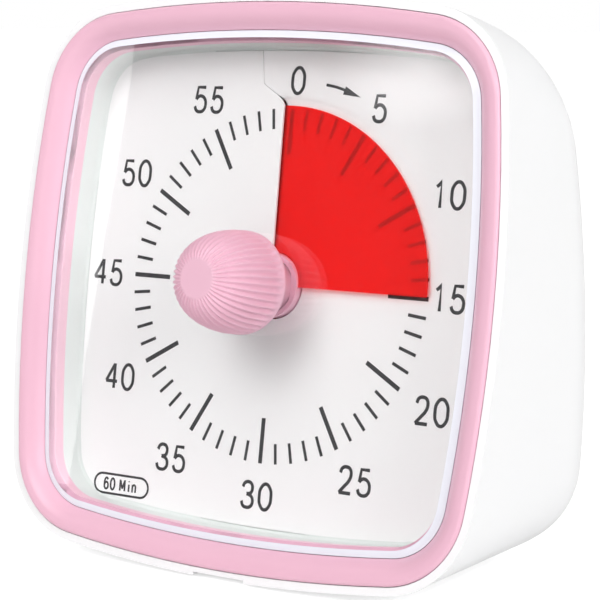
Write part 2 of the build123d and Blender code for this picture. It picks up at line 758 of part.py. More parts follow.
with BuildPart() as first_wheel:
    arbor(first_spot, 0.6, first_level - 0.9, -10.5)
    first_leaf = facing_leaf(first_turn, first_leaves)
    gear(first_spot, first_leaves, second_module, second_level + 0.3, 1.3, first_leaf)
    gear(first_spot, first_teeth, first_module, first_level, 0.7, rotor_turn)
first_wheel.part.label = "first_wheel"

with BuildPart() as rotor:
    arbor(rotor_spot, 0.5, first_level - 1.0, -10.5)
    column(at(stator_top + 1.5), [rotor_spot], rotor_radius, -2.8)
    first_leaf = facing_leaf(rotor_turn, rotor_leaves)
    gear(rotor_spot, rotor_leaves, first_module, first_level + 0.2, 1.1, first_leaf)
rotor.part.label = "rotor"

# ---------------------------------------------------------------- step motor
coil_level = stator_top - stator_thickness - 0.4
coil_low = -8.0
coil_high = 11.0

with BuildPart() as stator:
    with BuildSketch(at(stator_top)):
        with Locations(rotor_spot):
            Circle(3.6)
        with Locations((0, -3.8)):
            Rectangle(24, 2.4)
        with Locations((-10.8, -5.8)):
            Rectangle(2.4, 6.4)
        with Locations((13.75, -4.55)):
            Rectangle(2.5, 8.9)
        with Locations(rotor_spot):
            Circle(rotor_radius + 0.35, mode=Mode.SUBTRACT)
    extrude(amount=-stator_thickness)
stator.part.label = "stator"

with BuildPart() as coil_core:
    slab(at(stator_top - stator_thickness), (-12, -8.5), (15, -6.5), -0.8)
coil_core.part.label = "coil_core"

COIL = Plane(origin=FACE.from_local_coords((coil_low, -7.5, coil_level)), x_dir=FACE.y_dir, z_dir=(1, 0, 0))

with BuildPart() as coil_bobbin:
    column(COIL, [(0, 0)], 1.35, coil_high - coil_low)
    column(COIL, [(0, 0)], 2.4, 0.6)
    column(COIL.offset(coil_high - coil_low - 0.6), [(0, 0)], 2.4, 0.6)
    with BuildSketch(COIL):
        Rectangle(2.06, 0.86)
    extrude(amount=coil_high - coil_low, mode=Mode.SUBTRACT)
coil_bobbin.part.label = "coil_bobbin"

with BuildPart() as coil_winding:
    column(COIL.offset(0.6), [(0, 0)], 2.2, coil_high - coil_low - 1.2)
    column(COIL, [(0, 0)], 1.35, coil_high - coil_low, mode=Mode.SUBTRACT)
coil_winding.part.label = "coil_winding"

# ---------------------------------------------------------------- alarm electronics
board_front = board_depth - board_thickness  # the board's side towards the rear wall

with BuildPart() as circuit_board:
    slab(behind(board_depth), (-board_half, board_low), (board_half, board_high), board_thickness)
    column(behind(board_depth + 1), board_spots, 1.0, board_thickness + 2, mode=Mode.SUBTRACT)
circuit_board.part.label = "circuit_board"

with BuildPart() as board_screws:
    column(behind(board_depth), board_spots, 1.7, -1.0)
    column(behind(board_depth), board_spots, board_screw_radius, board_depth - shell_wall - 1.2)
board_screws.part.label = "board_screws"

with BuildPart() as driver_chip:
    slab(behind(board_front), (-4.5, board_middle - 2.5), (-0.5, board_middle + 2.5), 1.3)
driver_chip.part.label = "driver_chip"

with BuildPart() as quartz_crystal:
    slab(behind(board_front), (-10.0, board_middle + 1.0), (-7.0, board_middle + 2.5), 1.2)
    fillet(quartz_crystal.edges().filter_by(Axis(REAR.origin, REAR.z_dir)), 0.6)
quartz_crystal.part.label = "quartz_crystal"

switch_top = 4.2
peg_end = 5.0
peg_half = 0.8
slider_travel = 2.0
slider_back = shell_wall + 1.1
thumb_half = slot_half - slider_travel - fit_gap
thumb_half_height = slot_half_height - fit_gap


def at_switch(half, half_height):
    """Opposite corners of an oblong round the middle of the volume switch."""
    return (switch_x - half, slot_level - half_height), (switch_x + half, slot_level + half_height)


with BuildPart() as volume_switch:
    slab(behind(board_front), *at_switch(4.5, 2.2), board_front - switch_top)
    peg_slot = at_switch(peg_half + slider_travel + fit_gap, peg_half + fit_gap)
    slab(behind(peg_end + fit_gap), *peg_slot, 2, mode=Mode.SUBTRACT)
volume_switch.part.label = "volume_switch"

with BuildPart() as volume_slider:
    slab(behind(slider_back), *at_switch(6, 3), 0.8)
    slab(behind(slider_back), *at_switch(thumb_half, thumb_half_height), shell_wall + 2.3)
    thumb_end = volume_slider.faces().sort_by(Axis(REAR.origin, REAR.z_dir))[-1]
    fillet(thumb_end.edges(), 0.5)
    slab(behind(peg_end), *at_switch(peg_half, peg_half), peg_end - slider_back)
    # grip grooves over the thumb piece
    for groove_x in (-1.2, 0, 1.2):
        (left, low), (right, high) = at_switch(0.2, thumb_half_height + seam)
        slab(behind(-1.0), (left + groove_x, low), (right + groove_x, high), 0.4, mode=Mode.SUBTRACT)
volume_slider.part.label = "volume_slider"

with BuildPart() as speaker:
    speaker_front = shell_wall + 0.05
    basket_depth = speaker_thickness - 0.3
    column(behind(speaker_front), [speaker_spot], speaker_radius, -basket_depth)
    column(behind(speaker_front + basket_depth), [speaker_spot], 4.5, -1.5)
speaker.part.label = "speaker"

# ---------------------------------------------------------------- battery and its door
cell_start = -box_half + contact_thickness + spring_length
plate_size = 10.0
spring_radius = 2.6
spring_wire = 0.3
cell_middle = REAR.from_local_coords((0, cell_level, -cell_depth))


def end_plate(x, thickness):
    """A square contact plate that stands across the battery box."""
    with BuildSketch(Plane(origin=cell_middle + Vector(x, 0, 0), x_dir=(0, 1, 0), z_dir=(1, 0, 0))) as plate:
        Rectangle(plate_size, plate_size)
    extrude(plate.sketch, amount=thickness)


with BuildPart() as battery_cell:
    across(cell_level, cell_depth, cell_radius, cell_start, cell_start + cell_length)
    fillet(battery_cell.edges(), 0.5)
    cell_end = cell_start + cell_length
    across(cell_level, cell_depth, cell_button_radius, cell_end - 0.5, cell_end + cell_button)
battery_cell.part.label = "battery_cell"

with BuildPart() as battery_plate:
    end_plate(box_half - contact_thickness, contact_thickness)
battery_plate.part.label = "battery_plate"

with BuildPart() as battery_spring:
    end_plate(-box_half, contact_thickness)
    coil_start = cell_middle + Vector(-box_half + contact_thickness + 0.2, 0, 0)
    coil_height = spring_length - 0.55
    with BuildLine():
        turns = Helix(
            pitch=0.75, height=coil_height, radius=spring_radius, center=coil_start, direction=(1, 0, 0)
        )
    with BuildSketch(Plane(origin=turns @ 0, z_dir=turns % 0)):
        Circle(spring_wire)
    sweep(path=turns)
battery_spring.part.label = "battery_spring"

door_side = door_half - fit_gap

with BuildPart() as battery_door:
    leaf_corners = (-door_side, door_low + fit_gap), (door_side, door_high - fit_gap)
    slab(behind(door_thickness), *leaf_corners, door_thickness)
    lower_edge = battery_door.faces().sort_by(Axis(REAR.origin, REAR.y_dir))[0]
    fillet(lower_edge.edges().filter_by(Axis.X), door_thickness / 2 - 0.02)
    across(hinge_level, hinge_inset, hinge_radius, -door_side - hinge_length, door_side + hinge_length)
    # a ribbed thumb hold by the upper edge
    for rib in range(4):
        level = door_high - 2.2 - rib * 1.1
        slab(behind(0.4), (-5, level - 0.25), (5, level + 0.25), 1, mode=Mode.SUBTRACT)
battery_door.part.label = "battery_door"

# ---------------------------------------------------------------- fasteners and feet
with BuildPart() as case_screws:
    for x, y in screw_spots:
        seat = rear_height(y) + screw_seat_depth
        column(at(seat), [(x, y)], screw_head_radius, -screw_head)
        column(at(seat), [(x, y)], screw_radius, screw_seat_wall + seam + screw_grip)
        slab(at(seat - screw_head - 1), (x - 1.6, y - 0.3), (x + 1.6, y + 0.3), 1.7, mode=Mode.SUBTRACT)
        slab(at(seat - screw_head - 1), (x - 0.3, y - 1.6), (x + 0.3, y + 1.6), 1.7, mode=Mode.SUBTRACT)
case_screws.part.label = "case_screws"

with BuildPart() as rubber_feet:
    column(BASE, foot_spots, foot_radius, foot_height)
    fillet(rubber_feet.faces().sort_by(Axis.Z)[:4].edges(), 0.4)
rubber_feet.part.label = "rubber_feet"

pieces = [
    rear_shell, front_bezel, lens, dial_tray, dial_card, film_disc, film_hub, time_knob, spindle,
    movement_base, movement_cover, drive_wheel, clutch_spring, alarm_cam, contact_leaf, third_wheel,
    second_wheel, first_wheel, rotor, stator, coil_core, coil_bobbin, coil_winding, circuit_board,
    board_screws, driver_chip, quartz_crystal, volume_switch, volume_slider, speaker, battery_cell,
    battery_plate, battery_spring, battery_door, case_screws, rubber_feet,
]

for piece in pieces:
    export_step(piece.part, f"parts/{piece.part.label}.step")
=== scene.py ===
import json
import math

import bmesh
import bpy
from mathutils import Matrix, Vector


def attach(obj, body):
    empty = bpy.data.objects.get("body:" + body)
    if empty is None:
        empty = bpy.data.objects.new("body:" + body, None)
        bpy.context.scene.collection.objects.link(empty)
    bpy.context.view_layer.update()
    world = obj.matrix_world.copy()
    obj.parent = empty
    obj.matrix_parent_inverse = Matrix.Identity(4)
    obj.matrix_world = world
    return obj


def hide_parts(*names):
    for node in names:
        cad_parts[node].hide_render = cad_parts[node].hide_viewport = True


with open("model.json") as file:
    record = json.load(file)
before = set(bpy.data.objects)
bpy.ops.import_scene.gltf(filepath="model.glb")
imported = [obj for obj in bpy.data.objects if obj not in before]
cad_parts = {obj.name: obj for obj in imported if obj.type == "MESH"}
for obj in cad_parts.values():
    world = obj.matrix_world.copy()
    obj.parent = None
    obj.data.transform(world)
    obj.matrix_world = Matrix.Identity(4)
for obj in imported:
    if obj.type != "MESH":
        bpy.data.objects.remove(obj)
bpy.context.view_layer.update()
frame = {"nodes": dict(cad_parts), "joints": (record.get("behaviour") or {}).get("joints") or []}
nodes = frame["nodes"]

# ---------------------------------------------------------------- rear shell
# The case behind the bezel: one hollow shell of white ABS, injection moulded, which four
# screws hold to the dial tray. Its satin outside carries the fine even grain of the mould.
MM = 0.001


def linear(colour):
    """An sRGB hex colour as the linear colour that a shader takes."""
    parts = [int(colour[start : start + 2], 16) / 255 for start in (0, 2, 4)]
    return [part / 12.92 if part <= 0.04045 else ((part + 0.055) / 1.055) ** 2.4 for part in parts] + [1.0]


def add_node(material, kind, links=(), **settings):
    """Adds one node; links maps its inputs to a plain value or to the output that feeds it."""
    tree = material.node_tree
    node = tree.nodes.new(kind)
    for name, value in settings.items():
        setattr(node, name, value)
    for name, value in dict(links).items():
        if isinstance(value, bpy.types.NodeSocket):
            tree.links.new(value, node.inputs[name])
        else:
            node.inputs[name].default_value = value
    return node


def moulded_plastic(name, colour, shade, roughness, grain=0.5, relief=0.012):
    """Moulded plastic: an even colour with faint flow marks, and a fine grain in its gloss.

    A mould's grain is under 0.1 mm; it is drawn some five times as coarse, so that it shows.
    """
    material = bpy.data.materials.new(name)
    material.use_nodes = True
    shader = material.node_tree.nodes["Principled BSDF"]
    place = add_node(material, "ShaderNodeTexCoord").outputs["Object"]
    flow_size = {"Vector": place, "Scale": 1 / (28 * MM), "Detail": 2.0}
    flow = add_node(material, "ShaderNodeTexNoise", flow_size)
    tint = add_node(material, "ShaderNodeMix", {"Factor": flow.outputs["Fac"]}, data_type="RGBA")
    tint.inputs["A"].default_value = linear(colour)
    tint.inputs["B"].default_value = linear(shade)
    grain_size = {"Vector": place, "Scale": 1 / (grain * MM), "Detail": 2.0}
    fine = add_node(material, "ShaderNodeTexNoise", grain_size)
    grain_height = {"Height": fine.outputs["Fac"], "Strength": 0.6, "Distance": relief * MM}
    bump = add_node(material, "ShaderNodeBump", grain_height)
    material.node_tree.links.new(tint.outputs["Result"], shader.inputs["Base Color"])
    material.node_tree.links.new(bump.outputs["Normal"], shader.inputs["Normal"])
    shader.inputs["Roughness"].default_value = roughness
    shader.inputs["IOR"].default_value = 1.53
    return material


def shade_smooth(piece, crease):
    """Shades a bmesh smooth, with a crease where its faces turn by more than so many degrees."""
    for face in piece.faces:
        face.smooth = True
    for edge in piece.edges:
        edge.smooth = edge.calc_face_angle(0) < math.radians(crease)


def merged_copy(node, name, material, crease=28):
    """A welded, smoothly shaded copy of a CAD solid, creased where its faces turn sharply."""
    piece = bmesh.new()
    piece.from_mesh(nodes[node].data)
    bmesh.ops.remove_doubles(piece, verts=piece.verts, dist=0.002 * MM)
    bmesh.ops.dissolve_degenerate(piece, edges=piece.edges, dist=0.001 * MM)
    shade_smooth(piece, crease)
    return new_piece(piece, name, material)


def new_piece(piece, name, material):
    """Turns a finished bmesh, already in its place in metres, into an object."""
    mesh = bpy.data.meshes.new(name)
    piece.to_mesh(mesh)
    piece.free()
    mesh.materials.append(material)
    thing = bpy.data.objects.new(name, mesh)
    bpy.context.scene.collection.objects.link(thing)
    return thing


white_abs = moulded_plastic("white_abs_satin", "FAFAFA", "F7F7F8", 0.42)
shell = merged_copy("rear_shell", "case_shell", white_abs)
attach(shell, "case")
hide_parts("rear_shell")

# ---------------------------------------------------------------- front bezel
# The pink frame round the window, ABS moulded in colour and polished a little more than
# the shell, which gives it a soft sheen. It drops into the shell's rim and snaps to the tray.
turn_joint = next(joint for joint in frame["joints"] if joint["name"] == "knob_turn")
# The dial's own frame: from its centre x goes right, y up the face and z out of the case.
into_dial = Vector(turn_joint["axis"]).normalized()
across_dial = Vector((1, 0, 0))
up_dial = (-into_dial).cross(across_dial)
dial_place = Matrix((across_dial, up_dial, -into_dial)).transposed().to_4x4()
dial_place.translation = Vector(turn_joint["pos_m"])
to_world = dial_place @ Matrix.Scale(MM, 4)  # from millimetres on the dial to metres in the part
to_dial = to_world.inverted()
bow_radius = 265.0  # of the sides of the window, the pan and the card
face_drop = 0.5  # the face's middle lies this far under the dial's
corner_middle = 26.65  # the middles of the window's and the pan's round corners
corner_rise = 1.5  # by which a corner's reach is more than its distance from that middle


def reshape(piece, new_place):
    """Shifts a copy's points; new_place takes a reach from the face's middle and a height."""
    for vert in piece.data.vertices:
        spot = to_dial @ vert.co
        x, y = abs(spot.x), abs(spot.y + face_drop)
        reach = max(x + y * y / (2 * bow_radius), y + x * x / (2 * bow_radius))
        if min(x, y) > corner_middle:
            reach = corner_middle + corner_rise + math.hypot(x - corner_middle, y - corner_middle)
        far, high = new_place(reach, spot.z)
        if (far, high) != (reach, spot.z):
            grow = far / reach
            vert.co = to_world @ Vector((spot.x * grow, (spot.y + face_drop) * grow - face_drop, high))


pink_abs = moulded_plastic("pink_abs_polished", "EEBCCF", "ECB8CC", 0.34, grain=0.4, relief=0.006)
bezel = merged_copy("front_bezel", "window_bezel", pink_abs, crease=35)
window_grow = 0.45  # the window's edge is drawn this much further out
ledge_level = 5.7  # just under the ledge that the window lies on
window_reach, slope_reach = 36.6, 39.5  # just inside the window's wall, and out on the slope
window_fade = 2.3  # the move fades out over the last of the slope


def wide_window(reach, z):
    """Draws the window's wall and the start of the slope round it outwards."""
    if z > ledge_level and window_reach < reach < slope_reach:
        reach += window_grow * min((slope_reach - reach) / window_fade, 1)
    return reach, z


reshape(bezel, wide_window)
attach(bezel, "case")
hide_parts("front_bezel")

# ---------------------------------------------------------------- lens
# A flat window of clear acrylic, injection moulded and polished, that lies on a ledge of
# the bezel. It has a narrow satin bevel all round, pale with a painted highlight, and a hole for the knob's
# neck.
acrylic = bpy.data.materials.new("clear_acrylic_polished")
acrylic.use_nodes = True
glass = acrylic.node_tree.nodes["Principled BSDF"]
glass.inputs["Base Color"].default_value = linear("FDFDFD")
glass.inputs["Transmission Weight"].default_value = 1.0
glass.inputs["Roughness"].default_value = 0.015
glass.inputs["IOR"].default_value = 1.49
# a lamp's light goes straight through, so that the dial isn't dark behind the window
lamp_pass = add_node(acrylic, "ShaderNodeBsdfTransparent", {"Color": linear("FBFBFB")})
ray = add_node(acrylic, "ShaderNodeLightPath")
shadow_or_glass = {0: ray.outputs["Is Shadow Ray"], 1: glass.outputs["BSDF"], 2: lamp_pass.outputs["BSDF"]}
clear = add_node(acrylic, "ShaderNodeMixShader", shadow_or_glass)
acrylic_out = acrylic.node_tree.nodes["Material Output"]
acrylic.node_tree.links.new(clear.outputs["Shader"], acrylic_out.inputs["Surface"])
window = merged_copy("lens", "window_lens", acrylic, crease=8)
# the bevel and the walls keep a satin finish that scatters light; their pale bluish white is a painted
# highlight of the window's clear edges
satin_edge_painted_highlight = moulded_plastic("acrylic_bevel_satin_painted_highlight", "F4F8FF", "EEF4FC", 0.25, grain=0.5, relief=0.002)
window.data.materials.append(satin_edge_painted_highlight)
window_inside = 30  # well inside the bevel
reshape(window, lambda reach, z: (reach + window_grow if reach > window_inside else reach, z))
# the side walls take the satin edge with its painted highlight
for polygon in window.data.polygons:
    if abs(polygon.normal.dot(into_dial)) < 0.99:
        polygon.material_index = 1  # the satin edge
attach(window, "case")
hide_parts("lens")

# ---------------------------------------------------------------- dial tray
# The white pan behind the window that carries the dial card: ABS, injection moulded and so
# matt that it mirrors nothing, held by the bezel's hooks, with a round corner along its wall.
# the white pan is coloured grey-green: painted shade of its wall and cove under the bezel
matt_abs_painted_shade = moulded_plastic("white_abs_matt_painted_shade", "DEE3E1", "D9DFDC", 0.55)
tray = merged_copy("dial_tray", "dial_pan", matt_abs_painted_shade)
pan_half = 35.85  # inside of the wall
pan_cove = 1.8  # height of the round corner under the wall
seat_reach, seat_level = 33.8, -0.35  # inside of the cove, and just under the card's seat
tightening = 0.28  # the round corner is drawn at this share of its size


def tight_cove(reach, z):
    """Draws the pan's round corner and the card's seat nearer to the wall."""
    if seat_level < z < pan_cove + 0.01 and seat_reach < reach < pan_half + 0.03:
        return pan_half - (pan_half - reach) * tightening, z * (tightening if z > 0 else 1)
    return reach, z


reshape(tray, tight_cove)
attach(tray, "case")
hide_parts("dial_tray")

# ---------------------------------------------------------------- dial card
# A die-cut card, coated white, laid in the pan. It is slit from the hub to its top edge:
# the left sheet stands up at the slit, the right one dips, and the film runs between them.
card_thickness = 0.3
card_half = 35.2
card_corner = 7.0
hub_clear = 4.95
film_radius = 27.0
slit_rise = 0.5
slit_bend = 45.0  # degrees over which the card bends at each side of the slit
bend_margin = 0.4  # from the film's edge to where the bend starts to fade
left_fade, right_fade = 3.0, 0.8  # length over which it fades on each sheet
slit_left, slit_spread = 0.48, 0.008  # the slit stands left of the middle, more so outwards
jog_length, jog_turn = 3.1, 8.0  # outside the film the slit jogs left, by so many degrees
slit_gap = 0.03  # degrees
die_cut = 0.02  # degrees that stay open between the first and the last spoke
shift_fade = 5  # power at which the slit's shift fades out round the card


def clock_angle(point):
    """Degrees clockwise from the top, 0 to 360."""
    return math.degrees(math.atan2(point.x, point.y)) % 360


def card_height(angle, radius):
    """How far the card stands from its flat plane near the slit."""
    if angle < 180:
        bend, side, fade = angle, -1, (radius - film_radius - bend_margin) / right_fade
    else:
        bend, side, fade = 360 - angle, 1, (radius - film_radius - bend_margin) / left_fade
    bend = max(0.0, 1 - bend / slit_bend)
    fade = min(max(fade, 0.0), 1.0)
    least = 0.0 if side < 0 else 0.3  # share of the rise that the left sheet keeps to its edge
    return side * slit_rise * bend * (1 - fade * (1 - least))


def slit_shift(radius):
    """Degrees that the slit's line stands left of the top, with its jog outside the film."""
    jog = min(max((radius - film_radius) / jog_length, 0.0), 1.0)
    return math.degrees(math.asin((slit_left + slit_spread * radius) / radius)) + jog * jog_turn


def card_edge(angle):
    """Distance from the dial's centre to the card's bowed outline."""
    turn = math.radians(angle)
    low, high = 20.0, 60.0
    for _ in range(40):
        middle = (low + high) / 2
        x, y = abs(math.sin(turn) * middle), abs(math.cos(turn) * middle + face_drop)
        side = card_half - y * y / (2 * bow_radius)
        end = card_half - x * x / (2 * bow_radius)
        inside = x < side and y < end
        corner_x = card_half - (card_half - card_corner) ** 2 / (2 * bow_radius) - card_corner
        if inside and x > corner_x and y > corner_x:
            inside = math.hypot(x - corner_x, y - corner_x) < card_corner
        low, high = (middle, high) if inside else (low, middle)
    return low


card_rings = [hub_clear, 8, 12, 16, 20, 24, 26.6, 27.4, 27.7, 28.2, 29, 30, 30.4, 31.2]
card = bmesh.new()
card_outside = 40  # stands for the card's own edge, which is found for each angle
spokes = [card.verts.new((0, radius, 0)) for radius in card_rings + [card_outside]]
for inner, outer in zip(spokes, spokes[1:]):
    card.edges.new((inner, outer))
bmesh.ops.spin(
    card, geom=card.verts[:] + card.edges[:], cent=(0, 0, 0), axis=(0, 0, -1),
    angle=math.radians(360 - die_cut), steps=360, use_merge=False, use_duplicate=False,
)
for vert in card.verts:
    radius = vert.co.length
    angle = clock_angle(vert.co)
    share = abs(1 - angle / 180) ** shift_fade
    gap = slit_gap * (1 - angle / 180)
    turned = math.radians(angle - slit_shift(radius) * share + gap)
    if radius > card_outside - 1:
        radius = card_edge(math.degrees(turned))
    height = card_height(angle, radius)
    vert.co = (radius * math.sin(turned), radius * math.cos(turned), height)
bmesh.ops.recalc_face_normals(card, faces=card.faces)
if card.faces[0].normal.z < 0:
    bmesh.ops.reverse_faces(card, faces=card.faces)
bmesh.ops.solidify(card, geom=card.faces[:], thickness=card_thickness)
shade_smooth(card, crease=40)
bmesh.ops.transform(card, matrix=to_world, verts=card.verts)

# the coating is an even white with hardly any sheen
coated_card = moulded_plastic("coated_white_card", "F1F1F1", "EFEFEF", 0.6, grain=0.3, relief=0.003)
dial_card = new_piece(card, "printed_card", coated_card)
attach(dial_card, "case")
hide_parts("dial_card")

# ---------------------------------------------------------------- dial print
# Screen-printed dark grey ink on the card: sixty minute marks, every fifth one long and
# wide, upright numerals, an arrow that shows which way to wind, and the unit in a frame.
ink_thickness = 0.02
ink_clear = 0.004  # under the ink, so that the card doesn't show through it
ink = bpy.data.materials.new("screen_ink_dark_grey")
ink.use_nodes = True
ink_shader = ink.node_tree.nodes["Principled BSDF"]
# the screen's mesh, 0.1 mm in truth, is drawn 0.3 mm wide, so that the ink looks a little uneven
ink_place = add_node(ink, "ShaderNodeTexCoord").outputs["Object"]
ink_grain = {"Vector": ink_place, "Scale": 1 / (0.3 * MM), "Detail": 3.0}
ink_cover = add_node(ink, "ShaderNodeTexNoise", ink_grain)
ink_tint = add_node(ink, "ShaderNodeMix", {"Factor": ink_cover.outputs["Fac"]}, data_type="RGBA")
ink_tint.inputs["A"].default_value = linear("303032")
ink_tint.inputs["B"].default_value = linear("38383A")
ink.node_tree.links.new(ink_tint.outputs["Result"], ink_shader.inputs["Base Color"])
ink_shader.inputs["Roughness"].default_value = 0.5

print_marks = bmesh.new()
mark_end = 26.2
long_mark, short_mark = (0.68, 19.5), (0.48, 23.2)  # width, and radius of the inner end
for minute in range(60):
    width, inner = long_mark if minute % 5 == 0 else short_mark
    length = mark_end - inner
    turn = Matrix.Rotation(-math.radians(minute * 6), 4, "Z")
    spot = Matrix.Translation((0, inner + length / 2, ink_thickness / 2))
    size = Matrix.Diagonal((width, length, ink_thickness, 1))
    bmesh.ops.create_cube(print_marks, size=1, matrix=turn @ spot @ size)

# Each character is a few pen strokes in a box one wide and one high; the flag says
# whether a stroke is smooth or has corners.
strokes = {
    "0": [(True, [
        (0.5, 1), (0.14, 0.84), (0.03, 0.5), (0.14, 0.16), (0.5, 0),
        (0.86, 0.16), (0.97, 0.5), (0.86, 0.84), (0.5, 1),
    ])],
    "1": [(False, [(0.32, 0.78), (0.5, 0.86), (0.64, 1), (0.64, 0)])],
    "2": [
        (True, [
            (0.07, 0.76), (0.2, 0.94), (0.5, 1), (0.8, 0.93),
            (0.9, 0.73), (0.78, 0.5), (0.42, 0.25), (0.05, 0.01),
        ]),
        (False, [(0.05, 0.01), (0.95, 0.01)]),
    ],
    "3": [
        (True, [
            (0.08, 0.78), (0.22, 0.94), (0.48, 1), (0.77, 0.93), (0.86, 0.75), (0.74, 0.58), (0.42, 0.53),
        ]),
        (True, [
            (0.42, 0.53), (0.8, 0.45), (0.94, 0.26), (0.8, 0.06), (0.48, 0), (0.17, 0.06), (0.04, 0.23),
        ]),
    ],
    "4": [
        (False, [(0.74, 0), (0.74, 1)]),
        (False, [(0.72, 0.98), (0.04, 0.28)]),
        (False, [(0.02, 0.28), (1, 0.28)]),
    ],
    "5": [
        (False, [(0.88, 0.98), (0.24, 0.98), (0.13, 0.5)]),
        (True, [
            (0.13, 0.5), (0.32, 0.61), (0.56, 0.63), (0.85, 0.51), (0.94, 0.31),
            (0.8, 0.07), (0.48, 0), (0.18, 0.06), (0.04, 0.22),
        ]),
    ],
    "6": [(True, [
        (0.88, 0.84), (0.72, 0.96), (0.5, 1), (0.2, 0.86), (0.06, 0.45), (0.16, 0.12), (0.5, 0),
        (0.84, 0.1), (0.95, 0.31), (0.82, 0.54), (0.52, 0.62), (0.2, 0.52), (0.07, 0.34),
    ])],
    "M": [
        (False, [(0.05, 0), (0.05, 1)]),
        (False, [(0.08, 0.96), (0.5, 0.2)]),
        (False, [(0.5, 0.2), (0.92, 0.96)]),
        (False, [(0.95, 1), (0.95, 0)]),
    ],
    "i": [(False, [(0.5, 0), (0.5, 0.66)]), (False, [(0.5, 0.88), (0.5, 0.96)])],
    "n": [
        (True, [(0.1, 0.4), (0.25, 0.62), (0.55, 0.67), (0.84, 0.58), (0.9, 0.4)]),
        (False, [(0.1, 0), (0.1, 0.68)]),
        (False, [(0.9, 0.42), (0.9, 0)]),
    ],
}


def draw_stroke(points, smooth, weight):
    """One pen stroke in ink, as a flattened tube that is added to the print."""
    curve = bpy.data.curves.new("stroke", "CURVE")
    curve.dimensions = "3D"
    curve.bevel_depth = weight / 2
    curve.bevel_resolution = 2
    curve.use_fill_caps = True
    closed = smooth and points[0] == points[-1]
    line = curve.splines.new("BEZIER")
    line.bezier_points.add(len(points) - 1 - closed)
    line.use_cyclic_u = closed
    for knot, (x, y) in zip(line.bezier_points, points):
        knot.co = (x, y, 0)
        knot.handle_left_type = knot.handle_right_type = "AUTO" if smooth else "VECTOR"
    holder = bpy.data.objects.new("stroke", curve)
    bpy.context.scene.collection.objects.link(holder)
    bpy.context.view_layer.update()
    mesh = bpy.data.meshes.new_from_object(holder)
    bpy.data.objects.remove(holder)
    mesh.transform(Matrix.Diagonal((1, 1, ink_thickness / weight, 1)))
    mesh.transform(Matrix.Translation((0, 0, ink_thickness / 2)))
    print_marks.from_mesh(mesh)
    bpy.data.meshes.remove(mesh)


def write(text, centre, height, width, pitch, weight):
    """Writes characters side by side round a centre on the dial."""
    start = centre[0] - (pitch * (len(text) - 1) + width) / 2
    for place, character in enumerate(text):
        for smooth, points in strokes[character]:
            corner = (start + place * pitch, centre[1] - height / 2)
            draw_stroke([(corner[0] + x * width, corner[1] + y * height) for x, y in points], smooth, weight)


# the middles of the numerals, which stand a little unevenly round the marks
numeral_spots = {
    "0": (0.93, 30.38), "5": (15.4, 26.65), "10": (27.95, 14.83),
    "15": (29.35, 0.35), "20": (28.3, -15.65), "25": (16.65, -26.85),
    "30": (-0.15, -31.0), "35": (-16.4, -27.25), "40": (-27.5, -15.9),
    "45": (-31.5, 0.0), "50": (-27.6, 15.55), "55": (-15.0, 27.2),
}
for text, spot in numeral_spots.items():
    write(text, spot, height=3.8, width=2.2, pitch=3.15, weight=0.52)
pill_x, pill_y, pill_half, pill_round = -25.4, -32.52, 3.7, 1.5
unit_height, unit_weight = 1.7, 0.33
write("60", (-27.7, pill_y), unit_height, 0.8, 1.25, unit_weight)
write("M", (-25.15, pill_y), unit_height, 1.0, 1.2, unit_weight)
write("in", (-23.4, pill_y), unit_height, 0.75, 1.0, unit_weight)
pill = [(pill_x - pill_half, pill_y + pill_round), (pill_x + pill_half, pill_y + pill_round)]
for step in range(1, 12):
    turn = math.pi / 2 - math.pi * step / 12
    pill.append((pill_x + pill_half + pill_round * math.cos(turn), pill_y + pill_round * math.sin(turn)))
pill += [(2 * pill_x - x, 2 * pill_y - y) for x, y in pill]
draw_stroke(pill + pill[:1], smooth=False, weight=0.36)
draw_stroke([(5.9, 29.85), (7.9, 29.5), (10.2, 28.8)], smooth=True, weight=0.42)
arrow_head = ((8.9, 28.5), (12.0, 28.15), (9.3, 29.7))
print_marks.faces.new([print_marks.verts.new((x, y, ink_thickness)) for x, y in arrow_head])

# the window shifts what lies under it a little in the camera's view, and this takes it back
print_shift = (0.2, -0.08, 0)
bmesh.ops.translate(print_marks, verts=print_marks.verts, vec=print_shift)
# the ink follows the bent sheets: it takes its height where the card took it before its turn
for vert in print_marks.verts:
    radius = vert.co.xy.length
    sheet_angle = place_angle = clock_angle(vert.co)
    for _ in range(6):
        share = abs(1 - sheet_angle / 180) ** shift_fade
        sheet_angle = place_angle + slit_shift(radius) * share
    vert.co.z += card_height(sheet_angle % 360, radius) + ink_clear
bmesh.ops.transform(print_marks, matrix=to_world, verts=print_marks.verts)
dial_print = new_piece(print_marks, "dial_print", ink)
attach(dial_print, "case")

# ---------------------------------------------------------------- film and hub
# A disc cut from translucent red PVC film, welded to a moulded sleeve that turns with the
# knob. It lies in front of the card up to the set time, and behind it after that.
film_thickness = 0.2
film_pitch = 4.0  # rise of one whole turn
film_reach = 90.0  # degrees from zero to the film's front end at rest
film_rings = (4.8, 10, 16, 22, 26.5, 26.6)
film_steps = 180
film_gap = 0.004  # radians that stay open at the film's straight cut
film = bmesh.new()
ring_points = [film.verts.new((0, radius, 0)) for radius in film_rings]
for inner, outer in zip(ring_points, ring_points[1:]):
    film.edges.new((inner, outer))
bmesh.ops.spin(
    film, geom=film.verts[:] + film.edges[:], cent=(0, 0, 0), axis=(0, 0, -1),
    angle=2 * math.pi - film_gap, dvec=(0, 0, film_pitch / film_steps),
    steps=film_steps, use_merge=False, use_duplicate=False,
)
film_start = film_reach - 360
film_turn = Matrix.Rotation(-math.radians(film_start), 3, "Z")
bmesh.ops.rotate(film, verts=film.verts, cent=(0, 0, 0), matrix=film_turn)
film_level = -card_thickness / 2 + film_pitch * film_start / 360 - film_thickness / 2
bmesh.ops.translate(film, verts=film.verts, vec=(0, 0, film_level))
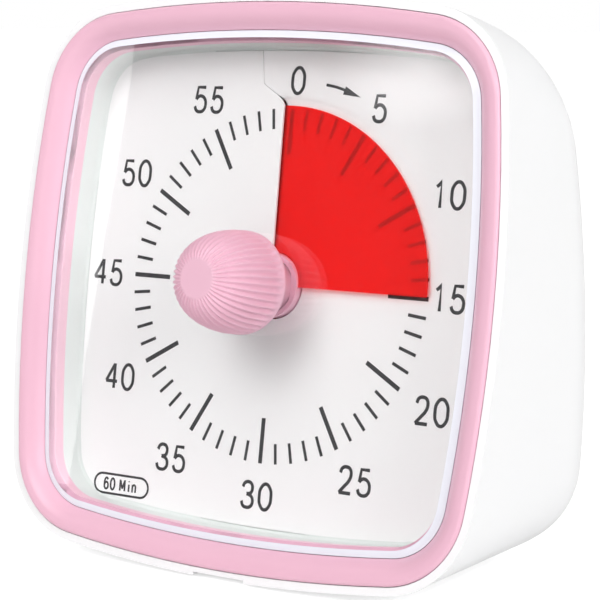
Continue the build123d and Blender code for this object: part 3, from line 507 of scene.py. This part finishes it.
bmesh.ops.recalc_face_normals(film, faces=film.faces)
if sum(face.normal.z for face in film.faces) < 0:
    bmesh.ops.reverse_faces(film, faces=film.faces)
top = bmesh.ops.extrude_face_region(film, geom=film.faces[:])["geom"]
top_verts = [part for part in top if isinstance(part, bmesh.types.BMVert)]
bmesh.ops.translate(film, verts=top_verts, vec=(0, 0, film_thickness))
bmesh.ops.recalc_face_normals(film, faces=film.faces)
shade_smooth(film, crease=40)
bmesh.ops.transform(film, matrix=to_world, verts=film.verts)

# the eye sees the card and its print through the film, tinted, and over it the film's own red
red_film = bpy.data.materials.new("translucent_red_pvc_film")
red_film.use_nodes = True
red_body = red_film.node_tree.nodes["Principled BSDF"]
red_place = add_node(red_film, "ShaderNodeTexCoord").outputs["Object"]
cloud_size = {"Vector": red_place, "Scale": 1 / (9 * MM), "Detail": 2.0}
red_cloud = add_node(red_film, "ShaderNodeTexNoise", cloud_size)
red_tint = add_node(red_film, "ShaderNodeMix", {"Factor": red_cloud.outputs["Fac"]}, data_type="RGBA")
red_tint.inputs["A"].default_value = linear("FE3A38")
red_tint.inputs["B"].default_value = linear("FC3836")
red_film.node_tree.links.new(red_tint.outputs["Result"], red_body.inputs["Base Color"])
red_body.inputs["Roughness"].default_value = 0.3
see_through = add_node(red_film, "ShaderNodeBsdfTransparent", {"Color": linear("FF2826")})
film_clear = 0.75  # share of the light that goes through the film
red_parts = {0: film_clear, 1: red_body.outputs["BSDF"], 2: see_through.outputs["BSDF"]}
red_mix = add_node(red_film, "ShaderNodeMixShader", red_parts)
red_out = red_film.node_tree.nodes["Material Output"]
red_film.node_tree.links.new(red_mix.outputs["Shader"], red_out.inputs["Surface"])
red_disc = new_piece(film, "red_film_disc", red_film)
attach(red_disc, "film")
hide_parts("film_disc")


def give_finish(names, material):
    """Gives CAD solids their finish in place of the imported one."""
    for name in names.split():
        for slot in nodes[name].material_slots:
            slot.material = material


give_finish("film_hub", pink_abs)

# ---------------------------------------------------------------- knob
# The winding knob, moulded in the bezel's pink ABS and pressed onto the movement's shaft: a
# fluted dome with a plain tip, a band at its rim and a waisted neck through the window.
# its grain is finer than the bezel's, and each flute catches a soft light
knob_abs = moulded_plastic("pink_abs_knob", "EABACC", "E8B6C9", 0.38, grain=0.3, relief=0.004)
knob_rim, knob_tip = 7.54, 2.6
rim_height, dome_low, dome_high = 8.8, 9.5, 19.96
dome_power = 2 / 2.2  # how full the dome is
flute_count = 42
flute_steps = 10
flute_share = 0.07  # depth as a share of the radius
flute_run, flute_end = 0.4, 0.3  # lengths over which the flutes fade, at the band and at the tip
tip_margin = 0.25  # from the plain tip to where the flutes begin
stem_low, stem_high, stem_radius = -4.6, 4.6, 3.95
stem_flat = 3.6  # half the distance over the stem's two flats
stem_bevel = 0.35, 0.3  # of the stem's end, across and along
knob_outline = [(0, stem_low), (stem_radius - stem_bevel[0], stem_low)]
knob_outline += [(stem_radius, stem_low + stem_bevel[1]), (stem_radius, stem_high)]
knob_outline += [(4.4, 5.1), (4.55, 6.2), (4.95, 7.4), (5.8, 8.2)]  # the waisted neck
knob_outline += [(7.0, 8.42), (7.24, 8.5), (7.46, 8.62), (knob_rim, rim_height), (knob_rim, 9.1)]
for step in range(31):
    turn = math.radians(3 * step)
    height = dome_low + (dome_high - dome_low) * math.sin(turn) ** dome_power
    knob_outline.append((knob_tip + (knob_rim - knob_tip) * math.cos(turn), height))
knob_outline += [(2.3, dome_high), (1.5, dome_high), (0, dome_high)]
knob_mesh = bmesh.new()
outline_verts = [knob_mesh.verts.new((radius, 0, height)) for radius, height in knob_outline]
for inner, outer in zip(outline_verts, outline_verts[1:]):
    knob_mesh.edges.new((inner, outer))
bmesh.ops.spin(
    knob_mesh, geom=knob_mesh.verts[:] + knob_mesh.edges[:], cent=(0, 0, 0), axis=(0, 0, 1),
    angle=2 * math.pi, steps=flute_count * flute_steps, use_merge=True, use_duplicate=False,
)
bmesh.ops.remove_doubles(knob_mesh, verts=knob_mesh.verts, dist=0.002)
bmesh.ops.recalc_face_normals(knob_mesh, faces=knob_mesh.faces)
# the flutes narrow to the tip and fade out at the band and at the tip
for vert in knob_mesh.verts:
    radius = vert.co.xy.length
    start = min(max((vert.co.z - dome_low) / flute_run, 0), 1)
    end = min(max((radius - knob_tip - tip_margin) / flute_end, 0), 1)
    wave = (1 - math.cos(flute_count * math.atan2(vert.co.y, vert.co.x))) / 2
    share = min(max((vert.co.z - dome_low) / (dome_high - dome_low), 0), 1)
    across = Vector((vert.co.x, vert.co.y, 0)).normalized()
    outward = across * math.sqrt(1 - share**2) + Vector((0, 0, share))
    vert.co -= outward.normalized() * flute_share * radius * wave * start * end
    if vert.co.z < stem_high - 0.1:
        vert.co.x = min(max(vert.co.x, -stem_flat), stem_flat)
shade_smooth(knob_mesh, crease=50)
bmesh.ops.transform(knob_mesh, matrix=to_world, verts=knob_mesh.verts)
knob = new_piece(knob_mesh, "winding_knob", knob_abs)
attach(knob, "knob")
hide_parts("time_knob")

# ---------------------------------------------------------------- movement
# Turned steel shafts, stamped laminations, moulded acetal wheels and a copper winding in a
# closed housing that two hooks of the dial tray hold. It shows only when the case is open.


def metal(name, colour, roughness, grain):
    """Bare metal whose tool marks break up its gloss, drawn coarser than real ones to show."""
    material = bpy.data.materials.new(name)
    material.use_nodes = True
    shader = material.node_tree.nodes["Principled BSDF"]
    place = add_node(material, "ShaderNodeTexCoord").outputs["Object"]
    grain_size = {"Vector": place, "Scale": 1 / (grain * MM), "Detail": 3.0}
    marks = add_node(material, "ShaderNodeTexNoise", grain_size)
    spread = add_node(
        material, "ShaderNodeMapRange",
        {"Value": marks.outputs["Fac"], "To Min": roughness * 0.85, "To Max": roughness * 1.15},
    )
    material.node_tree.links.new(spread.outputs["Result"], shader.inputs["Roughness"])
    shader.inputs["Base Color"].default_value = linear(colour)
    shader.inputs["Metallic"].default_value = 1.0
    return material


turned_steel = metal("turned_steel", "B9BABC", 0.3, 0.4)
nickel = metal("nickel_plated_spring_steel", "D3CFC6", 0.22, 0.6)
copper = metal("enamelled_copper_wire", "C8713F", 0.28, 0.15)
acetal = moulded_plastic("natural_acetal", "ECEBE4", "E6E5DD", 0.4)  # milky, with a dull sheen
black_abs = moulded_plastic("black_abs", "202124", "26272A", 0.4)
give_finish("spindle stator coil_core", turned_steel)
give_finish("clutch_spring contact_leaf", nickel)
give_finish("coil_winding", copper)
give_finish("movement_base movement_cover coil_bobbin", acetal)
give_finish("drive_wheel third_wheel second_wheel first_wheel", acetal)
give_finish("alarm_cam rotor", black_abs)

# ---------------------------------------------------------------- alarm electronics
# A small glass-fibre board under glossy green lacquer, screwed to two posts of the shell, with
# its chip, crystal and volume switch soldered on. A black slider works the switch through the
# shell, and a black sounder sits behind the grille.
solder_mask = moulded_plastic("green_solder_mask", "17613A", "14552F", 0.3, grain=0.8)
give_finish("circuit_board", solder_mask)
give_finish("driver_chip volume_switch speaker volume_slider", black_abs)
give_finish("quartz_crystal", nickel)
give_finish("board_screws", turned_steel)

# ---------------------------------------------------------------- battery and its door
# One AA cell in a plain sleeve between a nickelled plate and a spring, behind a door of
# the same white ABS as the shell.
cell_sleeve = moulded_plastic("printed_pvc_sleeve", "2B2E33", "33373D", 0.3)
give_finish("battery_cell", cell_sleeve)
give_finish("battery_plate battery_spring", nickel)
give_finish("battery_door", white_abs)

# ---------------------------------------------------------------- case screws and feet
# Four steel screws hold the shell to the dial tray. Four round pads of pale silicone rubber,
# dull to the eye, are pressed into shallow pockets under the shell.
give_finish("case_screws", turned_steel)
soft_rubber = moulded_plastic("pale_silicone_rubber", "E6E6E4", "E0E0DE", 0.8, grain=0.6, relief=0.02)
give_finish("rubber_feet", soft_rubber)

# ---------------------------------------------------------------- studio
# A plain pale floor, a bright even room, large soft lamps, and white boards that show
# only as reflections in the window.
white = linear("FFFFFF")
floor_sheet = bmesh.new()
bmesh.ops.create_grid(floor_sheet, x_segments=1, y_segments=1, size=6.0)
pale = bpy.data.materials.new("pale_floor")
pale.use_nodes = True
floor_shader = pale.node_tree.nodes["Principled BSDF"]
floor_shader.inputs["Base Color"].default_value = linear("FAFAFA")
floor_shader.inputs["Roughness"].default_value = 0.9
floor_shader.inputs["Specular IOR Level"].default_value = 0.1
floor_shader.inputs["Emission Color"].default_value = white
seen = add_node(pale, "ShaderNodeLightPath")
floor_glow = {0: seen.outputs["Is Camera Ray"], 1: 0.6}
seen_glow = add_node(pale, "ShaderNodeMath", floor_glow, operation="MULTIPLY")
pale.node_tree.links.new(seen_glow.outputs[0], floor_shader.inputs["Emission Strength"])
floor = new_piece(floor_sheet, "floor", pale)

room = bpy.data.worlds.new("room")
bpy.context.scene.world = room
room.use_nodes = True
air = room.node_tree.nodes["Background"]
air.inputs["Color"].default_value = white
# The room is white behind the object, 0.8 in its reflections and 0.5 where it lights it. To
# the front left, where the window mirrors the room for the camera, it is dark.
dark_way = dial_place.to_3x3() @ Vector((-0.56, 0.0, 0.83))
dark_outer, dark_inner = math.cos(math.radians(34)), math.cos(math.radians(24))
room_ray = add_node(room, "ShaderNodeLightPath").outputs
undimmed = {0: room_ray["Diffuse Depth"], 1: 0.5}
first_bounce = add_node(room, "ShaderNodeMath", undimmed, operation="LESS_THAN")
mirrored = {0: room_ray["Is Glossy Ray"], 1: room_ray["Is Transmission Ray"]}
sharp = add_node(room, "ShaderNodeMath", mirrored, operation="MAXIMUM")
both = {0: sharp.outputs[0], 1: first_bounce.outputs[0]}
clear_sight = add_node(room, "ShaderNodeMath", both, operation="MULTIPLY")
levels = {"Value": clear_sight.outputs[0], "To Min": 0.5, "To Max": 0.8}
room_level = add_node(room, "ShaderNodeMapRange", levels)
heading = add_node(room, "ShaderNodeTexCoord").outputs["Generated"]
toward = add_node(room, "ShaderNodeVectorMath", {0: heading, 1: dark_way}, operation="DOT_PRODUCT")
dark = add_node(
    room, "ShaderNodeMapRange",
    {
        "Value": toward.outputs["Value"], "From Min": dark_outer, "From Max": dark_inner,
        "To Min": 1.0, "To Max": 0.04,
    },
)
dimmed = {0: room_level.outputs["Result"], 1: dark.outputs["Result"]}
lit = add_node(room, "ShaderNodeMath", dimmed, operation="MULTIPLY")
behind = {0: lit.outputs[0], 1: room_ray["Is Camera Ray"]}
final = add_node(room, "ShaderNodeMath", behind, operation="MAXIMUM")
room.node_tree.links.new(final.outputs[0], air.inputs["Strength"])


def soft_lamp(name, place, aim, size, power):
    """A large square lamp that points at a spot on the object."""
    lamp = bpy.data.lights.new(name, "AREA")
    lamp.size = size
    lamp.energy = power
    holder = bpy.data.objects.new(name, lamp)
    holder.location = place
    holder.rotation_euler = (Vector(aim) - Vector(place)).to_track_quat("-Z", "Y").to_euler()
    bpy.context.scene.collection.objects.link(holder)


object_middle = (0, 0, 0.04)
soft_lamp("lamp_top", (0.1, -0.8, 0.9), object_middle, 0.7, 2.9)
soft_lamp("lamp_right", (1.0, -0.3, 0.45), object_middle, 0.6, 4.8)
soft_lamp("lamp_front", (-0.08, -0.95, 0.6), object_middle, 0.5, 2.95)


def reflector(name, corners, strength, hub=None):
    """A bright board before the dial that only reflections show; a hub makes it fade to its edge."""
    board = bmesh.new()
    glow = board.verts.layers.float.new("glow")
    rim = [board.verts.new(corner) for corner in corners]
    for vert in rim:
        vert[glow] = 0.0 if hub else 1.0
    if hub:
        middle = board.verts.new(hub)
        middle[glow] = 1.0
        for near, far in zip(rim, rim[1:] + rim[:1]):
            board.faces.new((middle, near, far))
    else:
        board.faces.new(rim)
    bmesh.ops.transform(board, matrix=to_world, verts=board.verts)
    paint = bpy.data.materials.new(name)
    paint.use_nodes = True
    paint.node_tree.nodes.remove(paint.node_tree.nodes["Principled BSDF"])
    level = add_node(paint, "ShaderNodeAttribute", attribute_name="glow")
    power = add_node(paint, "ShaderNodeMath", {0: level.outputs["Fac"], 1: strength}, operation="MULTIPLY")
    light = add_node(paint, "ShaderNodeEmission", {"Strength": power.outputs[0]})
    paint_out = paint.node_tree.nodes["Material Output"]
    paint.node_tree.links.new(light.outputs["Emission"], paint_out.inputs["Surface"])
    thing = new_piece(board, name, paint)
    thing.visible_camera = thing.visible_diffuse = thing.visible_shadow = thing.visible_transmission = False


board_far = 788  # millimetres in front of the dial
left_outline = [
    (-648, 200), (-651, 112), (-659, 33), (-667, -53), (-669, -102), (-672, -130), (-760, -130), (-760, 200),
]
reflector("board_left", [(x, y, board_far) for x, y in left_outline], 3.8)
glow_x, glow_y, glow_width, glow_height = -446, 130, 62, 36
glow_rim = []
for step in range(24):
    turn = math.radians(15 * step)
    glow_rim.append((glow_x + glow_width * math.cos(turn), glow_y + glow_height * math.sin(turn), board_far))
reflector("board_right", glow_rim, 8.0, hub=(glow_x, glow_y, board_far))

# The camera stands 324 mm from the dial, to its right and a little above the middle.
camera = bpy.data.cameras.new("camera")
camera.lens = 132
camera.sensor_width = 36
camera.clip_start = 0.01
right = Vector((0.827347, 0.087220, -0.554878))
up = Vector((-0.074451, 0.996183, 0.045578))
back = Vector((0.556735, 0.003602, 0.830682))
stand = Matrix((right, up, back)).transposed().to_4x4()
stand.translation = Vector((183.64, -0.63, 267.52)) * MM
viewer = bpy.data.objects.new("camera", camera)
viewer.matrix_world = dial_place @ stand
bpy.context.scene.collection.objects.link(viewer)
bpy.context.scene.camera = viewer
bpy.context.scene.view_settings.view_transform = "Standard"
